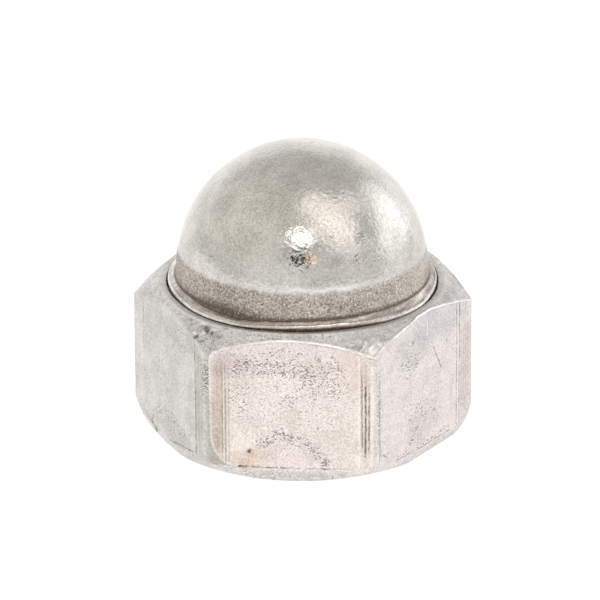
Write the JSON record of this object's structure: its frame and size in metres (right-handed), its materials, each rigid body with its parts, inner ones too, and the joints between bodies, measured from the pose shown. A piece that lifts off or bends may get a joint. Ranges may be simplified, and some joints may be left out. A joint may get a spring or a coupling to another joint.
{
  "type": "domed cap nut",
  "caption": "Two-piece hexagon cap nut: a tapped hexagon body with a hollow domed cap seated on top that covers the end of the bolt.",
  "frame": {"origin": "centre of the flat bearing face", "axes": "+Z along the thread axis towards the top of the dome; +X through a corner of the hexagon, so a flat faces -Y"},
  "size_m": [0.0194, 0.017, 0.0171],
  "materials": {
    "nut_steel": "matt forged stainless steel, pitted and scratched",
    "cap_steel": "satin drawn stainless steel with a dull heat-tinted band at the foot"
  },
  "bodies": {
    "root": {"hex_nut": "nut_steel", "domed_cap": "cap_steel"}
  },
  "joints": []
}
